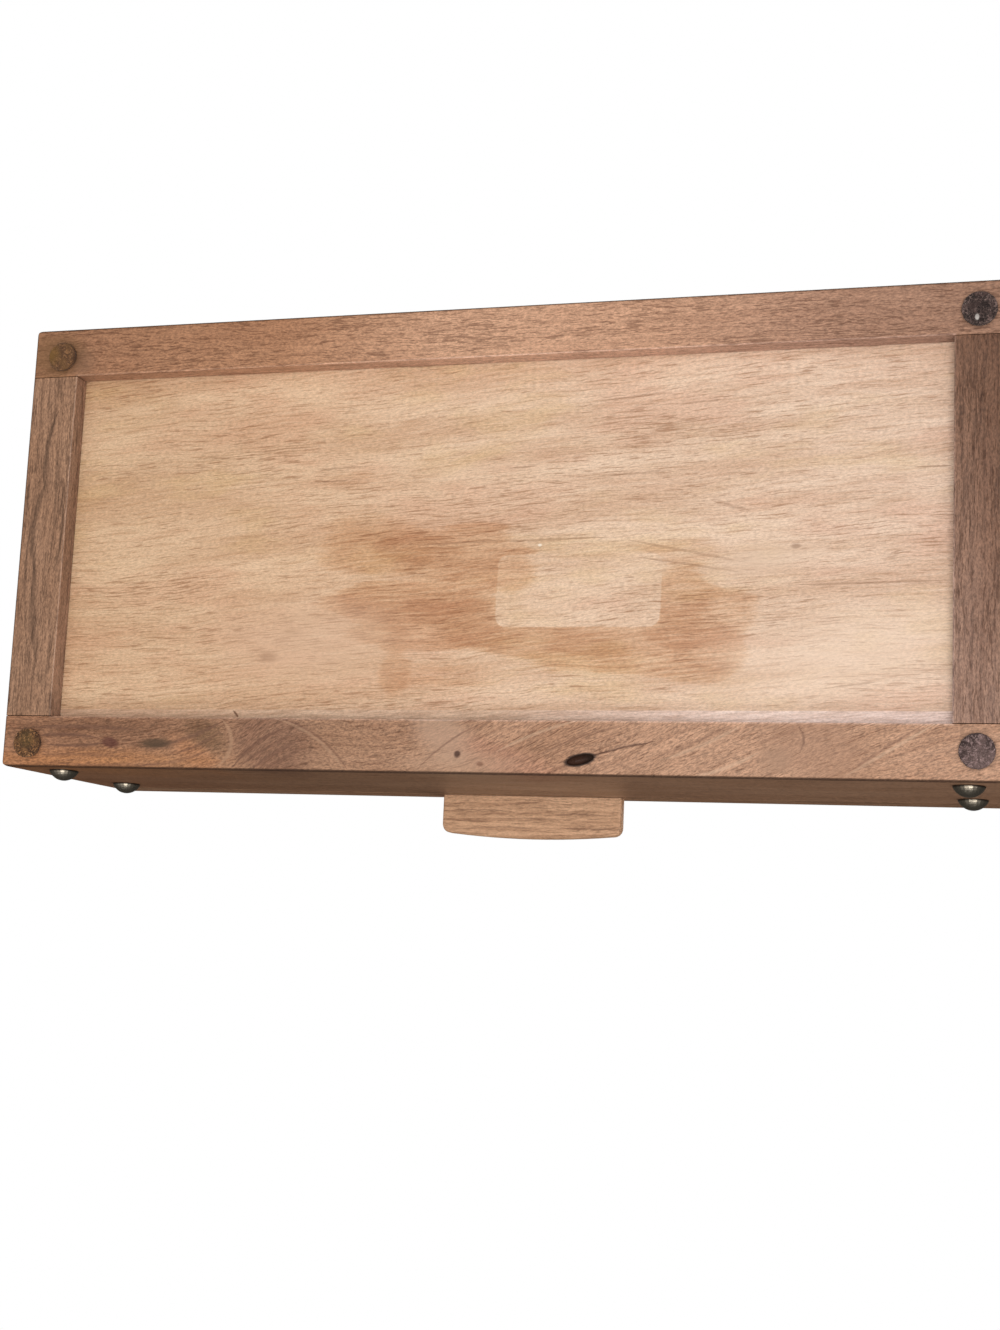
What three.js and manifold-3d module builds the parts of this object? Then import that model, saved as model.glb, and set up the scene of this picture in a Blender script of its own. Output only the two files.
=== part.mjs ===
// A wooden keepsake box: four butted boards, a thin bottom panel held in grooves, and a slab lid
// on two butt hinges, lifted by a flat wooden tab. Millimetres, +Z up, front towards -Y, right +X.
// The origin is under the middle of the whole object, on the surface that its felt pads stand on.
import * as THREE from 'three';
import { mergeVertices, toCreasedNormals } from 'three/addons/utils/BufferGeometryUtils.js';
import Module from 'manifold-3d';

const wasm = await Module();
wasm.setup();

// Clearances and overruns.
const seatGap = 0.3;
const pinClearance = 0.15;
const overrun = 2;

// The body of the box.
const boxLength = 366;
const boxDepth = 170;
const boardThickness = 19;
const bodyHeight = 82.3;
const cornerRadius = 3;
const lowerEdgeRadius = 1.5;
const jointEdgeRadius = 0.8;

// The bottom panel and its grooves.
const panelThickness = 5;
const panelRecess = 7.7;
const grooveDepth = 6;

// The lid.
const lidThickness = 19;
const lidTopRadius = 2.5;

// The lifting tab: its tongue goes into a mortise in the lid's front edge.
const tabWidth = 72.5;
const tabReach = 16.5;
const tabTongue = 12;
const tabThickness = 5.5;
const tabRise = 5.5;
const tabBow = 1.6;
const tabCornerRadius = 3.2;
const tabEdgeRadius = 0.8;

// The felt pads.
const padRadius = 6;
const padThickness = 2;
const padRimRadius = 0.5;
const padInset = 10.8;
// How far each hand-set pad strays inwards from its end and from the front or back, in pad radii.
const padStrayShares = {
  front_left: [0.05, -0.13],
  front_right: [0.05, -0.35],
  back_left: [0, -0.02],
  back_right: [0.33, 0.12],
};

// The dome-headed tacks.
const tackHeadRadius = 5.5;
const tackHeadHeight = 3.6;
const tackWall = 0.8;
const tackShankRadius = 0.8;
const tackShankLength = 13;
const tackPointLength = 3;
const tackInsetLeft = 13.9;
const tackInsetRight = 19.4;
const tackLowerHeight = 13;
const tackUpperDrop = 17.7;

// The hole in the front board's lower edge where a small knot has dropped out.
const knotLength = 9.8;
const knotWidth = 3.5;
const knotDepth = 3;
const knotFromLeft = 143;
const knotFromFace = 5.5;
const knotTurn = -13;

// The butt hinges.
const hingeInset = 70;
const hingeLength = 38;
const knuckleCount = 5;
const knuckleRadius = 2.5;
const hingePinRadius = 1.2;
const hingePinCrown = 0.4;
const leafThickness = 1.5;
const leafWidth = 9.6;
const leafCornerRadius = 1;

// The hinge screws.
const screwHeadRadius = 2.6;
const screwHeadLand = 0.2;
const screwShankRadius = 1.3;
const screwLength = 12;
const screwPointLength = 3;
const screwTipRadius = 0.3;
const screwSlotWidth = 0.7;
const screwSlotDepth = 0.6;
const screwFromLeafEnd = 7;
const screwSunk = 0.1;

// Facet counts.
const discSegments = 24;
const screwSegments = 16;
const edgeSegments = 4;

// Sizes that follow from the others.
const innerLength = boxLength - 2 * boardThickness;
const innerDepth = boxDepth - 2 * boardThickness;
const bodyBase = padThickness + seatGap;
const panelBase = bodyBase + panelRecess;
const bodyTop = bodyBase + bodyHeight;
const lidBase = bodyTop + seatGap;
const axisHeight = (bodyTop + lidBase) / 2;
const axisStandoff = knuckleRadius + seatGap;
const centreShift = (tabReach - axisStandoff - knuckleRadius) / 2;

// A closed geometry as a solid that can be joined and cut.
function toSolid(geometry) {
  const bare = geometry.clone();
  bare.deleteAttribute('normal');
  bare.deleteAttribute('uv');
  const merged = mergeVertices(bare);
  return new wasm.Manifold(new wasm.Mesh({
    numProp: 3,
    vertProperties: new Float32Array(merged.attributes.position.array),
    triVerts: new Uint32Array(merged.index.array),
  }));
}

// A solid back to a geometry, with crisp edges and smooth curves.
function toGeometry(solid) {
  const mesh = solid.getMesh();
  const geometry = new THREE.BufferGeometry();
  geometry.setAttribute('position', new THREE.BufferAttribute(new Float32Array(mesh.vertProperties), 3));
  geometry.setIndex(new THREE.BufferAttribute(new Uint32Array(mesh.triVerts), 1));
  return toCreasedNormals(geometry, Math.PI / 6);
}

// A rectangle with its own radius at each corner: low left, low right, high right, high left.
function roundedRectangle(x0, y0, x1, y1, [lowLeft, lowRight, highRight, highLeft]) {
  const shape = new THREE.Shape();
  shape.moveTo(x0 + lowLeft, y0);
  shape.lineTo(x1 - lowRight, y0);
  if (lowRight > 0) shape.absarc(x1 - lowRight, y0 + lowRight, lowRight, -Math.PI / 2, 0);
  shape.lineTo(x1, y1 - highRight);
  if (highRight > 0) shape.absarc(x1 - highRight, y1 - highRight, highRight, 0, Math.PI / 2);
  shape.lineTo(x0 + highLeft, y1);
  if (highLeft > 0) shape.absarc(x0 + highLeft, y1 - highLeft, highLeft, Math.PI / 2, Math.PI);
  shape.lineTo(x0, y0 + lowLeft);
  if (lowLeft > 0) shape.absarc(x0 + lowLeft, y0 + lowLeft, lowLeft, Math.PI, 1.5 * Math.PI);
  return shape;
}

// A flat shape extruded along Z, from zero up to its height.
function plate(shape, height) {
  const options = { depth: height, bevelEnabled: false, curveSegments: edgeSegments };
  return new THREE.ExtrudeGeometry(shape, options);
}

// A section drawn in Y and Z, extruded both ways along X.
function alongX(section, length) {
  const geometry = plate(section, length);
  geometry.translate(0, 0, -length / 2);
  geometry.rotateX(Math.PI / 2);
  geometry.rotateZ(Math.PI / 2);
  return geometry;
}

// A section drawn in X and Z, extruded along Y from y0 to y1.
function alongY(section, y0, y1) {
  const geometry = plate(section, y1 - y0);
  geometry.rotateX(Math.PI / 2);
  geometry.translate(0, y1, 0);
  return geometry;
}

// A plain block between two corners, for grooves, gains and mortises.
function block(low, high) {
  const [width, depth, height] = high.map((value, axis) => value - low[axis]);
  const geometry = new THREE.BoxGeometry(width, depth, height);
  geometry.translate(low[0] + width / 2, low[1] + depth / 2, low[2] + height / 2);
  return toSolid(geometry);
}

// A turned form: points of radius and height about Z.
function turned(points, segments) {
  const profile = points.map(([radius, height]) => new THREE.Vector2(radius, height));
  const geometry = new THREE.LatheGeometry(profile, segments);
  geometry.rotateX(Math.PI / 2);
  return geometry;
}

// A board lying along X with its outer face at y = 0 and its lower edge at z = 0. Its ends are
// rounded in plan where they make the box's corners, and square where they butt.
function boardSolid(length, endRadius) {
  const plan = roundedRectangle(-length / 2, 0, length / 2, boardThickness, [endRadius, endRadius, 0, 0]);
  const sectionRadii = [lowerEdgeRadius, 0, 0, jointEdgeRadius];
  const section = roundedRectangle(0, 0, boardThickness, bodyHeight, sectionRadii);
  const body = toSolid(plate(plan, bodyHeight)).intersect(toSolid(alongX(section, length)));
  if (endRadius === 0) return body;
  const face = roundedRectangle(
    -length / 2, 0, length / 2, bodyHeight,
    [lowerEdgeRadius, lowerEdgeRadius, jointEdgeRadius, jointEdgeRadius],
  );
  return body.intersect(toSolid(alongY(face, 0, boardThickness)));
}

// The groove that holds the panel's edge, in a board's own frame.
function panelGroove(length) {
  return block(
    [-length / 2, boardThickness - grooveDepth, panelRecess - seatGap],
    [length / 2, boardThickness + overrun, panelRecess + panelThickness + seatGap],
  );
}

// A screw from its head's flat top at z = 0 down to its point. Its hole is the same form with a
// clearance all round it and a mouth that runs up past the head.
function screwForm(clearance, mouth) {
  const headRadius = screwHeadRadius + clearance;
  const shankRadius = screwShankRadius + clearance;
  const tip = -screwLength - clearance;
  return turned([
    [0, tip],
    [screwTipRadius + clearance, tip],
    [shankRadius, -screwLength + screwPointLength - clearance],
    [shankRadius, -screwHeadLand - screwHeadRadius + screwShankRadius],
    [headRadius, -screwHeadLand],
    [headRadius, mouth],
    [0, mouth],
  ], screwSegments);
}

// A tack pointing along +Z from the back of its head at z = 0: a hollow dome and a pointed shank.
function tackForm() {
  const outerRadius = (tackHeadRadius ** 2 + tackHeadHeight ** 2) / (2 * tackHeadHeight);
  const innerRadius = outerRadius - tackWall;
  const centre = outerRadius - tackHeadHeight;
  const points = [[0, -tackHeadHeight]];
  for (let step = 1; step <= 2 * edgeSegments; step += 1) {
    const angle = (step / (2 * edgeSegments)) * Math.asin(tackHeadRadius / outerRadius);
    points.push([outerRadius * Math.sin(angle), centre - outerRadius * Math.cos(angle)]);
  }
  const rimAngle = Math.acos(centre / innerRadius);
  const shankAngle = Math.asin(tackShankRadius / innerRadius);
  for (let step = 0; step <= edgeSegments; step += 1) {
    const angle = rimAngle + (step / edgeSegments) * (shankAngle - rimAngle);
    points.push([innerRadius * Math.sin(angle), centre - innerRadius * Math.cos(angle)]);
  }
  points.push([tackShankRadius, tackShankLength - tackPointLength]);
  points.push([0, tackShankLength]);
  return turned(points, discSegments);
}

const box = new THREE.Group();
box.position.y = centreShift;

function add(parent, name, geometry, look) {
  const mesh = new THREE.Mesh(geometry, new THREE.MeshStandardMaterial(look));
  mesh.name = name;
  parent.add(mesh);
  return mesh;
}

// Looks: colour, roughness and metalness of each piece.
const frontWalnut = { color: 0x8a5f45, roughness: 0.45, metalness: 0 };
const backWalnut = { color: 0x96694c, roughness: 0.5, metalness: 0 };
const rightWalnut = { color: 0x77543e, roughness: 0.5, metalness: 0 };
const leftWalnut = { color: 0x6f4f3e, roughness: 0.5, metalness: 0 };
const lidWalnut = { color: 0x855b42, roughness: 0.4, metalness: 0 };
const tabWood = { color: 0xaf876a, roughness: 0.5, metalness: 0 };
const blondPly = { color: 0xd8b08b, roughness: 0.65, metalness: 0 };
const charcoalFelt = { color: 0x584b4a, roughness: 1, metalness: 0 };
const oliveFelt = { color: 0x705840, roughness: 1, metalness: 0 };
const antiqueNickel = { color: 0x9a8a74, roughness: 0.3, metalness: 1 };
const hingeBrass = { color: 0xb89556, roughness: 0.35, metalness: 1 };
const screwBrass = { color: 0xc0a061, roughness: 0.3, metalness: 1 };
const pinSteel = { color: 0xa89a7c, roughness: 0.3, metalness: 1 };

const sides = [['left', -1], ['right', 1]];

// Where each hinge sits along the box, and each screw along its leaf.
const hingePlaces = sides.map(([side, sign]) => [side, sign * (boxLength / 2 - hingeInset)]);
const screwFromMiddle = hingeLength / 2 - screwFromLeafEnd;
const screwPlaces = [['a', -screwFromMiddle], ['b', screwFromMiddle]];
const leafEdge = axisStandoff + leafWidth;
const screwSetback = axisStandoff + leafWidth / 2;

// A leaf's countersunk holes, about the hinge axis at the origin and below it. The face that the
// leaf lies flush with is half a seat gap down.
const leafFace = -seatGap / 2;

function screwHoles() {
  const holes = screwPlaces.map(([, place]) => {
    const hole = screwForm(seatGap, overrun);
    hole.translate(place, -screwSetback, leafFace - screwSunk);
    return toSolid(hole);
  });
  return holes.reduce((sum, hole) => sum.add(hole));
}

// A gain for one leaf, with the pilot holes of its screws, in the board below the axis.
function leafSeat() {
  const gain = block(
    [-hingeLength / 2 - seatGap, -leafEdge - seatGap, leafFace - leafThickness - seatGap],
    [hingeLength / 2 + seatGap, 0, 0],
  );
  return gain.add(screwHoles());
}

// The front and back boards run the full length. Their grooves stop short of the ends.
function longBoard() {
  return boardSolid(boxLength, cornerRadius).subtract(panelGroove(innerLength + 2 * grooveDepth));
}

const tackPlaces = [
  ['left', -boxLength / 2 + tackInsetLeft],
  ['right', boxLength / 2 - tackInsetRight],
].flatMap(([side, x]) => [
  [`tack_${side}_lower`, x, tackLowerHeight],
  [`tack_${side}_upper`, x, bodyHeight - tackUpperDrop],
]);

// The knot's hole is half an ellipsoid, turned a little across the board.
const knotForm = new THREE.SphereGeometry(1, discSegments, discSegments / 2);
knotForm.scale(knotLength / 2, knotWidth / 2, knotDepth);
knotForm.rotateZ(THREE.MathUtils.degToRad(knotTurn));
knotForm.translate(knotFromLeft - boxLength / 2, knotFromFace, 0);

let frontSolid = longBoard().subtract(toSolid(knotForm));
for (const [, x, z] of tackPlaces) {
  const hole = turned([
    [0, -overrun],
    [tackShankRadius + seatGap, -overrun],
    [tackShankRadius + seatGap, tackShankLength],
    [0, tackShankLength],
  ], screwSegments);
  hole.rotateX(-Math.PI / 2);
  hole.translate(x, 0, z);
  frontSolid = frontSolid.subtract(toSolid(hole));
}
const front = add(box, 'front_board', toGeometry(frontSolid), frontWalnut);
front.position.set(0, -boxDepth / 2, bodyBase);

// The back board is the same board turned to face the other way, with the hinges' gains.
let backSolid = longBoard();
for (const [, x] of hingePlaces) {
  const seat = leafSeat().rotate([0, 0, 180]).translate([x, -axisStandoff, axisHeight - bodyBase]);
  backSolid = backSolid.subtract(seat);
}
const back = add(box, 'back_board', toGeometry(backSolid), backWalnut);
back.rotation.z = Math.PI;
back.position.set(0, boxDepth / 2, bodyBase);

// The side boards butt between them, with their grooves run right through.
const sideLength = innerDepth - 2 * seatGap;
const sideSolid = boardSolid(sideLength, 0).subtract(panelGroove(sideLength + overrun));
for (const [side, sign] of sides) {
  const board = add(box, `${side}_board`, toGeometry(sideSolid), sign > 0 ? rightWalnut : leftWalnut);
  board.rotation.z = sign * Math.PI / 2;
  board.position.set(sign * boxLength / 2, 0, bodyBase);
}

// The bottom panel, with its edges in the four grooves.
const panelEdge = grooveDepth - seatGap;
const panelLength = innerLength + 2 * panelEdge;
const panelDepth = innerDepth + 2 * panelEdge;
const panelSheet = new THREE.BoxGeometry(panelLength, panelDepth, panelThickness);
const panel = add(box, 'bottom_panel', panelSheet, blondPly);
panel.position.set(0, 0, panelBase + panelThickness / 2);

// The felt pads, one under each corner.
const padCorner = padRadius - padRimRadius;
const padPoints = [
  [0, 0],
  [padCorner, 0],
  [padRadius, padRimRadius],
  [padRadius, padThickness],
  [0, padThickness],
];
for (const [side, sign] of sides) {
  for (const [end, turn] of [['front', -1], ['back', 1]]) {
    const felt = sign > 0 ? oliveFelt : charcoalFelt;
    const pad = add(box, `pad_${end}_${side}`, turned(padPoints, discSegments), felt);
    const [strayAlong, strayAcross] = padStrayShares[`${end}_${side}`];
    const insetAlong = padInset + strayAlong * padRadius;
    const insetAcross = padInset + strayAcross * padRadius;
    pad.position.set(sign * (boxLength / 2 - insetAlong), turn * (boxDepth / 2 - insetAcross), 0);
  }
}

// The tacks, driven into the front board.
for (const [name, x, z] of tackPlaces) {
  const tack = add(box, name, tackForm(), antiqueNickel);
  tack.rotation.x = -Math.PI / 2;
  tack.position.set(x, -boxDepth / 2 - seatGap, bodyBase + z);
}

// Everything that turns with the lid hangs from the hinge axis.
const lidGroup = new THREE.Group();
lidGroup.position.set(0, boxDepth / 2 + axisStandoff, axisHeight);
box.add(lidGroup);

// The lid: a slab flush with the body, with the mortise for the tab and the gains for the hinges.
const lidUnder = lidBase - axisHeight;
const lidFront = -axisStandoff - boxDepth;
const lidPlan = roundedRectangle(
  -boxLength / 2, -boxDepth / 2, boxLength / 2, boxDepth / 2,
  [cornerRadius, cornerRadius, cornerRadius, cornerRadius],
);
const lidRadii = [jointEdgeRadius, jointEdgeRadius, lidTopRadius, lidTopRadius];
const lidLongSection = roundedRectangle(-boxDepth / 2, 0, boxDepth / 2, lidThickness, lidRadii);
const lidCrossSection = roundedRectangle(-boxLength / 2, 0, boxLength / 2, lidThickness, lidRadii);
let lidSolid = toSolid(plate(lidPlan, lidThickness))
  .intersect(toSolid(alongX(lidLongSection, boxLength)))
  .intersect(toSolid(alongY(lidCrossSection, -boxDepth / 2, boxDepth / 2)))
  .translate([0, -axisStandoff - boxDepth / 2, lidUnder]);
lidSolid = lidSolid.subtract(block(
  [-tabWidth / 2 - seatGap, lidFront - overrun, lidUnder + tabRise - seatGap],
  [tabWidth / 2 + seatGap, lidFront + tabTongue + seatGap, lidUnder + tabRise + tabThickness + seatGap],
));
for (const [, x] of hingePlaces) {
  lidSolid = lidSolid.subtract(leafSeat().rotate([0, 180, 0]).translate([x, 0, 0]));
}
add(lidGroup, 'lid', toGeometry(lidSolid), lidWalnut);

// The lifting tab: a thin strip with a slightly bowed front edge and rounded corners.
const tabHalf = tabWidth / 2 - tabEdgeRadius;
const tabCrest = tabEdgeRadius - tabReach;
const tabEnds = tabCrest + tabBow;
const tabShape = new THREE.Shape();
tabShape.moveTo(-tabHalf, tabTongue - tabEdgeRadius);
tabShape.lineTo(-tabHalf, tabEnds + tabCornerRadius);
tabShape.quadraticCurveTo(-tabHalf, tabEnds, -tabHalf + tabCornerRadius, tabEnds);
tabShape.quadraticCurveTo(0, tabCrest - tabBow, tabHalf - tabCornerRadius, tabEnds);
tabShape.quadraticCurveTo(tabHalf, tabEnds, tabHalf, tabEnds + tabCornerRadius);
tabShape.lineTo(tabHalf, tabTongue - tabEdgeRadius);
const tabGeometry = new THREE.ExtrudeGeometry(tabShape, {
  depth: tabThickness - 2 * tabEdgeRadius,
  bevelThickness: tabEdgeRadius,
  bevelSize: tabEdgeRadius,
  bevelSegments: 3,
  curveSegments: 3 * edgeSegments,
});
const tab = add(lidGroup, 'lid_tab', toGeometry(toSolid(tabGeometry)), tabWood);
tab.position.set(0, lidFront, lidUnder + tabRise + tabEdgeRadius);

// A hinge leaf below its axis: a plate, its own knuckles wrapped round the pin, and countersunk
// holes. The first leaf has the odd knuckles and the second has the even ones.
const knucklePitch = (hingeLength + seatGap) / knuckleCount;
const knuckleLength = knucklePitch - seatGap;

function leafForm(first) {
  const outline = roundedRectangle(
    -hingeLength / 2, -leafEdge, hingeLength / 2, -axisStandoff,
    [leafCornerRadius, leafCornerRadius, 0, 0],
  );
  const sheet = plate(outline, leafThickness);
  sheet.translate(0, 0, leafFace - leafThickness);
  let leaf = toSolid(sheet);
  for (let index = first; index < knuckleCount; index += 2) {
    const start = -hingeLength / 2 + index * knucklePitch;
    const barrel = new THREE.CylinderGeometry(knuckleRadius, knuckleRadius, knuckleLength, discSegments);
    barrel.rotateZ(Math.PI / 2);
    barrel.translate(start + knuckleLength / 2, 0, 0);
    leaf = leaf.add(toSolid(barrel));
    leaf = leaf.add(block(
      [start, -axisStandoff - leafThickness, leafFace - leafThickness],
      [start + knuckleLength, 0, leafFace],
    ));
  }
  const boreRadius = hingePinRadius + pinClearance;
  const bore = new THREE.CylinderGeometry(boreRadius, boreRadius, hingeLength + overrun, discSegments);
  bore.rotateZ(Math.PI / 2);
  return toGeometry(leaf.subtract(toSolid(bore)).subtract(screwHoles()));
}

// The pin, its length along X, with slightly crowned ends.
function pinForm() {
  const half = hingeLength / 2;
  const pin = turned([
    [0, -half],
    [hingePinRadius - hingePinCrown, -half],
    [hingePinRadius, -half + hingePinCrown],
    [hingePinRadius, half - hingePinCrown],
    [hingePinRadius - hingePinCrown, half],
    [0, half],
  ], discSegments);
  pin.rotateY(Math.PI / 2);
  return pin;
}

// A slotted screw with a countersunk head.
function slottedScrew() {
  const slot = block(
    [-screwHeadRadius - overrun, -screwSlotWidth / 2, -screwSlotDepth],
    [screwHeadRadius + overrun, screwSlotWidth / 2, overrun],
  );
  return toGeometry(toSolid(screwForm(0, 0)).subtract(slot));
}

const bodyHinges = new THREE.Group();
bodyHinges.position.copy(lidGroup.position);
box.add(bodyHinges);

for (const [side, x] of hingePlaces) {
  const bodyLeaf = add(bodyHinges, `hinge_${side}_body_leaf`, leafForm(0), hingeBrass);
  bodyLeaf.position.x = x;
  const lidLeaf = add(lidGroup, `hinge_${side}_lid_leaf`, leafForm(1), hingeBrass);
  lidLeaf.position.x = x;
  lidLeaf.rotation.y = Math.PI;
  const pin = add(bodyHinges, `hinge_${side}_pin`, pinForm(), pinSteel);
  pin.position.x = x;
  for (const [letter, place] of screwPlaces) {
    const bodyScrew = add(bodyHinges, `hinge_${side}_body_screw_${letter}`, slottedScrew(), screwBrass);
    bodyScrew.position.set(x + place, -screwSetback, leafFace - screwSunk);
    const lidScrew = add(lidGroup, `hinge_${side}_lid_screw_${letter}`, slottedScrew(), screwBrass);
    lidScrew.position.set(x + place, -screwSetback, screwSunk - leafFace);
    lidScrew.rotation.y = Math.PI;
  }
}

export default box;
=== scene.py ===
import math
import random

import bpy
from mathutils import Euler, Matrix, Vector


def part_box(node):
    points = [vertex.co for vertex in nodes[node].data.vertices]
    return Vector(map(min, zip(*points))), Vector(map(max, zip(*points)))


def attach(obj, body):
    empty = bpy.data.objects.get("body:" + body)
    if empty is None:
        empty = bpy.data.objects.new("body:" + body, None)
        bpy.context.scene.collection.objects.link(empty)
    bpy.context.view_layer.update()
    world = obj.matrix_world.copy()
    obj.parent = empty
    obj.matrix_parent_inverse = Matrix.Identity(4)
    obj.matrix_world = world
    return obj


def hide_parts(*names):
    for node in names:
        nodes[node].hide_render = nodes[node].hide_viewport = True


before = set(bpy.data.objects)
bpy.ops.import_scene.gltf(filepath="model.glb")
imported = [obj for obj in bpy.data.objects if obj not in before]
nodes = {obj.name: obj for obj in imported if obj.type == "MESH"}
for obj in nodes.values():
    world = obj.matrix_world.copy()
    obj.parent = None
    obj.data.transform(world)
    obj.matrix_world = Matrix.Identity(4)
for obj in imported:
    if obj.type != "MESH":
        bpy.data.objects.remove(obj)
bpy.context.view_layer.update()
print("frame loaded:", len(nodes), "pieces")


# small helpers for wiring shader nodes: feeds go to the inputs in order, None leaves one alone
def put(tree, kind, *feeds, **settings):
    node = tree.nodes.new(kind)
    for key, value in settings.items():
        setattr(node, key, value)
    for index, value in enumerate(feeds):
        wire(tree, value, node.inputs[index])
    return node


def wire(tree, value, socket):
    if value is None:
        return
    if isinstance(value, bpy.types.NodeSocket):
        tree.links.new(value, socket)
    else:
        socket.default_value = value


def feed(tree, node, values):
    for label, value in values.items():
        wire(tree, value, node.inputs[label])


def calc(tree, operation, a, b=None, clamp=False):
    return put(tree, "ShaderNodeMath", a, b, operation=operation, use_clamp=clamp).outputs[0]


def plus(tree, a, b):
    return calc(tree, "ADD", a, b)


def minus(tree, a, b):
    return calc(tree, "SUBTRACT", a, b)


def times(tree, a, b):
    return calc(tree, "MULTIPLY", a, b)


def vec(tree, operation, a, b=None):
    node = put(tree, "ShaderNodeVectorMath", a, b, operation=operation)
    return node.outputs["Value" if operation in ("LENGTH", "DISTANCE") else "Vector"]


def scaled(tree, vector, amount):
    return put(tree, "ShaderNodeVectorMath", vector, None, None, amount, operation="SCALE").outputs[0]


def split(tree, vector):
    return put(tree, "ShaderNodeSeparateXYZ", vector).outputs


def join(tree, x, y, z):
    return put(tree, "ShaderNodeCombineXYZ", x, y, z).outputs[0]


def grey(tree, value):
    return put(tree, "ShaderNodeCombineColor", value, value, value).outputs[0]


def turn(tree, vector, angle):
    node = put(tree, "ShaderNodeVectorRotate", vector, rotation_type="Z_AXIS")
    wire(tree, angle, node.inputs["Angle"])
    return node.outputs[0]


def noise(tree, place, stretch, detail, rough, output="Fac"):
    node = put(tree, "ShaderNodeTexNoise", vec(tree, "MULTIPLY", place, stretch))
    feed(tree, node, {"Scale": 1.0, "Detail": detail, "Roughness": rough})
    return node.outputs[output]


# a random push that averages nothing
def stray(tree, place, stretch, reach):
    push = noise(tree, place, stretch, 2.0, 0.5, "Color")
    return vec(tree, "MULTIPLY", vec(tree, "SUBTRACT", push, (0.5, 0.5, 0.5)), reach)


def wobble(tree, value, amount):
    return times(tree, minus(tree, value, 0.5), amount)


def ease(tree, value, low, high, start=0.0, end=1.0):
    node = put(tree, "ShaderNodeMapRange", value, low, high, start, end, interpolation_type="SMOOTHSTEP")
    return node.outputs[0]


# rises over the first two stops and falls over the last two
def band(tree, value, stops):
    return times(tree, ease(tree, value, *stops[:2]), ease(tree, value, *stops[2:], 1.0, 0.0))


def blend(tree, amount, under, over, mode="MIX"):
    node = put(tree, "ShaderNodeMix", amount, data_type="RGBA", blend_type=mode)
    wire(tree, under, node.inputs[6])
    wire(tree, over, node.inputs[7])
    return node.outputs[2]


def tinted(tree, colour, tint):
    return blend(tree, 1.0, colour, tint, "MULTIPLY")


# lays a colour over another where the mask says, as strongly as the amount
def layer(tree, colour, mask, amount, over):
    return blend(tree, times(tree, mask, amount), colour, over)


# a tint that changes along one axis: stops are (millimetres, red, green, blue)
def tintAlong(tree, along, stops):
    low, high = stops[0][0], stops[-1][0]
    ramp = tree.nodes.new("ShaderNodeValToRGB")
    while len(ramp.color_ramp.elements) < len(stops):
        ramp.color_ramp.elements.new(0.5)
    for element, (spot, *tint) in zip(ramp.color_ramp.elements, stops):
        element.position = (spot - low) / (high - low)
        element.color = (*tint, 1.0)
    wire(tree, calc(tree, "DIVIDE", minus(tree, along, low), high - low), ramp.inputs[0])
    return ramp.outputs[0]


# how far the grain has swung sideways by each place along a board
def grainSwing(tree, along, swings):
    start, end = swings[0][0], swings[-1][0]
    low, high = min(swing for spot, swing in swings), max(swing for spot, swing in swings)
    curve = tree.nodes.new("ShaderNodeFloatCurve")
    points = curve.mapping.curves[0].points
    while len(points) < len(swings):
        points.new(0.5, 0.5)
    for point, (spot, swing) in zip(points, swings):
        point.location = ((spot - start) / (end - start), (swing - low) / (high - low))
    curve.mapping.update()
    share = calc(tree, "DIVIDE", minus(tree, along, start), end - start, clamp=True)
    wire(tree, share, curve.inputs["Value"])
    return plus(tree, times(tree, curve.outputs[0], high - low), low)


def paint(red, green, blue):  # a screen colour, 0 to 255, as linear light
    def linear(value):
        value /= 255
        return value / 12.92 if value <= 0.04045 else ((value + 0.055) / 1.055) ** 2.4
    return (linear(red), linear(green), linear(blue), 1.0)


# a group takes vectors and numbers by name, and gives plain numbers back
def newGroup(name, vectors, numbers, outputs):
    tree = bpy.data.node_groups.new(name, "ShaderNodeTree")
    sockets = ((vectors, "INPUT", "Vector"), (numbers, "INPUT", "Float"), (outputs, "OUTPUT", "Float"))
    for labels, way, kind in sockets:
        for label in labels.split():
            tree.interface.new_socket(name=label, in_out=way, socket_type="NodeSocket" + kind)
    return tree, tree.nodes.new("NodeGroupInput").outputs, tree.nodes.new("NodeGroupOutput")


def useGroup(tree, group, **feeds):
    node = tree.nodes.new("ShaderNodeGroup")
    node.node_tree = group
    feed(tree, node, feeds)
    return node.outputs


# a soft round or oval mark with a ragged edge
def makeSpot():
    tree, given, result = newGroup("markSpot", "Place Centre Reach", "Turn Soft Ragged Grain", "Mask")
    place = given["Place"]
    off = turn(tree, vec(tree, "SUBTRACT", place, given["Centre"]), given["Turn"])
    size = vec(tree, "LENGTH", vec(tree, "DIVIDE", off, given["Reach"]))
    rough = noise(tree, place, (0.05, 0.22, 0.22), 4.0, 0.62)
    fine = noise(tree, place, (0.12, 1.6, 1.6), 2.0, 0.6)
    size = plus(tree, size, wobble(tree, rough, given["Ragged"]))
    size = plus(tree, size, wobble(tree, fine, given["Grain"]))
    inner = minus(tree, 1.0, given["Soft"])
    outer = plus(tree, 1.0, given["Soft"])
    feed(tree, result, {"Mask": ease(tree, size, inner, outer, 1.0, 0.0)})
    return tree


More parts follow.
